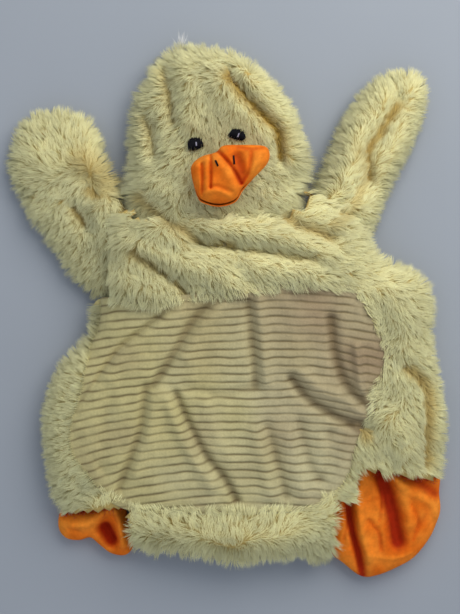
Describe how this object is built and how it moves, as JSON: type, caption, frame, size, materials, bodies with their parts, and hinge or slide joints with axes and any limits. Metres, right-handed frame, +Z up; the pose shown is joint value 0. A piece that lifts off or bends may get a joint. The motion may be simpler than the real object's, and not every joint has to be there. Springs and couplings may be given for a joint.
{
  "type": "mouth puppet",
  "caption": "Limp plush duckling hand puppet lying on its back, with a ribbed belly, hinged beak, wings and feet, and a hand sleeve open at the hem.",
  "frame": {"origin": "middle of the bottom of the whole puppet's box, on the surface it lies on", "axes": "+Z up out of the belly, +Y along the puppet toward its head, +X toward the puppet's own left side"},
  "size_m": [0.356, 0.4356, 0.0649],
  "materials": {
    "plush": "long-pile pale yellow plush",
    "ribbed": "short-pile cream plush with wide ribs",
    "velour": "short-pile orange velour",
    "cotton": "plain woven lining",
    "board": "flexible stiffener sheet",
    "felt": "thin felt",
    "thread": "black embroidery thread",
    "white": "white thread"
  },
  "bodies": {
    "torso": {"belly_panel": "ribbed", "chest_panel": "plush", "side_panel_left": "plush", "hem_panel": "plush", "side_panel_right": "plush", "back_panel_left": "plush", "back_panel_right": "plush", "sleeve_lining_front": "cotton", "sleeve_lining_back": "cotton", "opening_binding_front": "cotton", "opening_binding_back": "cotton"},
    "head": {"face_panel": "plush", "head_side_left": "plush", "head_side_right": "plush", "head_back_left": "plush", "head_back_right": "plush", "eye_right": "thread", "eye_highlight_right": "white", "eye_left": "thread", "eye_highlight_left": "white", "crown_wisps": "white"},
    "lower_beak": {"beak_lower_skin": "velour", "mouth_floor": "felt", "mouth_plate_lower": "board", "thumb_pocket": "cotton"},
    "upper_beak": {"beak_upper_skin": "velour", "mouth_palate": "felt", "mouth_plate_upper": "board", "finger_pocket": "cotton", "nostril_right": "thread", "nostril_left": "thread"},
    "wing_right": {"wing_right_front": "plush", "wing_right_back": "plush"},
    "wing_left": {"wing_left_front": "plush", "wing_left_back": "plush"},
    "foot_left": {"foot_left_top": "velour", "foot_left_sole": "velour"},
    "foot_right": {"foot_right_top": "velour", "foot_right_sole": "velour"}
  },
  "joints": [
    {"name": "head_nod", "type": "hinge", "parent": "torso", "child": "head", "pos_m": [-0.00915, 0.06423, 0.0395], "axis": [1, 0, 0], "range_deg": [0, 80]},
    {"name": "beak_lift", "type": "hinge", "parent": "head", "child": "lower_beak", "pos_m": [0, 0.12003, 0.0369], "axis": [-1, 0, 0], "range_deg": [0, 70]},
    {"name": "mouth_open", "type": "hinge", "parent": "lower_beak", "child": "upper_beak", "pos_m": [0, 0.12003, 0.05], "axis": [-1, 0, 0], "range_deg": [0, 50]},
    {"name": "wing_right_flap", "type": "hinge", "parent": "torso", "child": "wing_right", "pos_m": [-0.0915, 0.03423, 0.0235], "axis": [0, 1, 0], "range_deg": [0, 100]},
    {"name": "wing_left_flap", "type": "hinge", "parent": "torso", "child": "wing_left", "pos_m": [0.09135, 0.07023, 0.0275], "axis": [0.863, -0.5052, 0], "range_deg": [0, 95]},
    {"name": "foot_left_swing", "type": "hinge", "parent": "torso", "child": "foot_left", "pos_m": [0.12685, -0.12926, 0.03], "axis": [-0.9857, 0.1687, 0], "range_deg": [0, 100]},
    {"name": "foot_right_swing", "type": "hinge", "parent": "torso", "child": "foot_right", "pos_m": [-0.10815, -0.15936, 0.025], "axis": [-0.9874, -0.1583, 0], "range_deg": [0, 100]}
  ]
}
